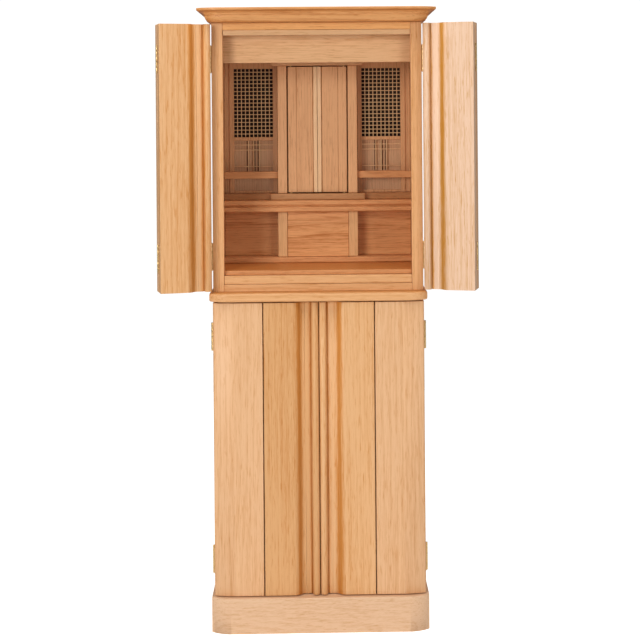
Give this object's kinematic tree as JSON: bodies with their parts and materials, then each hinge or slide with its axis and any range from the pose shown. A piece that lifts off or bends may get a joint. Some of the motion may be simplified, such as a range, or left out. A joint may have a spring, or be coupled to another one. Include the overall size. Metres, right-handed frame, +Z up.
{
  "type": "household altar cabinet",
  "caption": "Tall floor-standing wooden altar cabinet with folding doors, an inner shrine with lattice screens, a pull-out board and a cupboard below.",
  "frame": {"origin": "on the floor under the middle of the object as it stands with its upper doors open", "axes": "+Z up, -Y towards the front with the doors, +X to the right seen from the front"},
  "size_m": [0.6658, 0.4062, 1.2845],
  "materials": {
    "wood_door": "satin lacquered pale orange-brown wood, upright grain",
    "wood_frame": "satin lacquered pale orange-brown wood",
    "wood_base": "satin pale wood with broad level grain",
    "wood_crown": "satin wood, stronger orange in the hollows",
    "wood_niche": "satin wood with level grain",
    "wood_shrine": "satin wood with fine upright grain",
    "brass": "polished brass"
  },
  "bodies": {
    "carcass": {"plinth_front": "wood_base", "plinth_left": "wood_base", "plinth_right": "wood_base", "plinth_back": "wood_base", "lower_floor": "wood_base", "lower_side_left": "wood_frame", "lower_side_right": "wood_frame", "lower_back": "wood_frame", "waist_board": "wood_frame", "upper_side_left": "wood_frame", "upper_side_right": "wood_frame", "stile_left": "wood_frame", "stile_right": "wood_frame", "upper_back": "wood_frame", "valance": "wood_frame", "base_board": "wood_frame", "crown": "wood_crown", "head_rail": "wood_crown", "altar_floor": "wood_niche", "step_board": "wood_niche", "mid_shelf": "wood_niche", "bay_post_left": "wood_niche", "bay_post_right": "wood_niche", "bay_panel": "wood_niche", "bay_back": "wood_niche", "niche_base": "wood_niche", "niche_back_left": "wood_niche", "niche_back_right": "wood_niche", "niche_rail_left": "wood_niche", "niche_rail_right": "wood_niche", "dais": "wood_shrine", "pillar_left": "wood_shrine", "pillar_right": "wood_shrine", "canopy_plate": "wood_shrine", "shrine_case": "wood_shrine", "lattice_screen_left": "wood_shrine", "lattice_screen_right": "wood_shrine", "upper_left_side_hinge_low": "brass", "upper_left_side_hinge_high": "brass", "upper_right_side_hinge_low": "brass", "upper_right_side_hinge_high": "brass", "lower_left_side_hinge_low": "brass", "lower_left_side_hinge_high": "brass", "lower_right_side_hinge_low": "brass", "lower_right_side_hinge_high": "brass"},
    "upper_left_outer": {"upper_left_outer_leaf": "wood_door", "upper_left_fold_hinge_low": "brass", "upper_left_fold_hinge_high": "brass"},
    "upper_left_inner": {"upper_left_inner_leaf": "wood_door"},
    "upper_right_outer": {"upper_right_outer_leaf": "wood_door", "upper_right_fold_hinge_low": "brass", "upper_right_fold_hinge_high": "brass"},
    "upper_right_inner": {"upper_right_inner_leaf": "wood_door"},
    "lower_left_outer": {"lower_left_outer_leaf": "wood_door"},
    "lower_left_inner": {"lower_left_inner_leaf": "wood_door"},
    "lower_right_outer": {"lower_right_outer_leaf": "wood_door"},
    "lower_right_inner": {"lower_right_inner_leaf": "wood_door"},
    "shrine_left": {"shrine_door_left": "wood_shrine"},
    "shrine_right": {"shrine_door_right": "wood_shrine"},
    "pull_out": {"pull_out_board": "wood_frame"}
  },
  "joints": [
    {"name": "upper_left_door", "type": "hinge", "parent": "carcass", "child": "upper_left_outer", "pos_m": [-0.2205, -0.14841, 0.6], "axis": [0, 0, -1], "range_deg": [-165, 0]},
    {"name": "upper_left_fold", "type": "hinge", "parent": "upper_left_outer", "child": "upper_left_inner", "pos_m": [-0.32755, -0.17968, 0.6], "axis": [0, 0, 1], "range_deg": [-180, 0]},
    {"name": "upper_right_door", "type": "hinge", "parent": "carcass", "child": "upper_right_outer", "pos_m": [0.2205, -0.14841, 0.6], "axis": [0, 0, 1], "range_deg": [-165, 0]},
    {"name": "upper_right_fold", "type": "hinge", "parent": "upper_right_outer", "child": "upper_right_inner", "pos_m": [0.32755, -0.17968, 0.6], "axis": [0, 0, -1], "range_deg": [-180, 0]},
    {"name": "lower_left_door", "type": "hinge", "parent": "carcass", "child": "lower_left_outer", "pos_m": [-0.2205, -0.14841, 0.6], "axis": [0, 0, -1], "range_deg": [0, 165]},
    {"name": "lower_left_fold", "type": "hinge", "parent": "lower_left_outer", "child": "lower_left_inner", "pos_m": [-0.115, -0.14591, 0.6], "axis": [0, 0, 1], "range_deg": [0, 180]},
    {"name": "lower_right_door", "type": "hinge", "parent": "carcass", "child": "lower_right_outer", "pos_m": [0.2205, -0.14841, 0.6], "axis": [0, 0, 1], "range_deg": [0, 165]},
    {"name": "lower_right_fold", "type": "hinge", "parent": "lower_right_outer", "child": "lower_right_inner", "pos_m": [0.115, -0.14591, 0.6], "axis": [0, 0, -1], "range_deg": [0, 180]},
    {"name": "shrine_left_door", "type": "hinge", "parent": "carcass", "child": "shrine_left", "pos_m": [-0.0585, 0.03809, 1.04], "axis": [0, 0, -1], "range_deg": [0, 95]},
    {"name": "shrine_right_door", "type": "hinge", "parent": "carcass", "child": "shrine_right", "pos_m": [0.0585, 0.03809, 1.04], "axis": [0, 0, 1], "range_deg": [0, 95]},
    {"name": "board_slide", "type": "slide", "parent": "carcass", "child": "pull_out", "axis": [0, -1, 0], "range_m": [0, 0.15]}
  ],
  "couplings": [
    {"joint": "upper_left_fold", "follows": "upper_left_door", "ratio": 1.0909},
    {"joint": "upper_right_fold", "follows": "upper_right_door", "ratio": 1.0909},
    {"joint": "lower_left_fold", "follows": "lower_left_door", "ratio": 1.0909},
    {"joint": "lower_right_fold", "follows": "lower_right_door", "ratio": 1.0909}
  ]
}
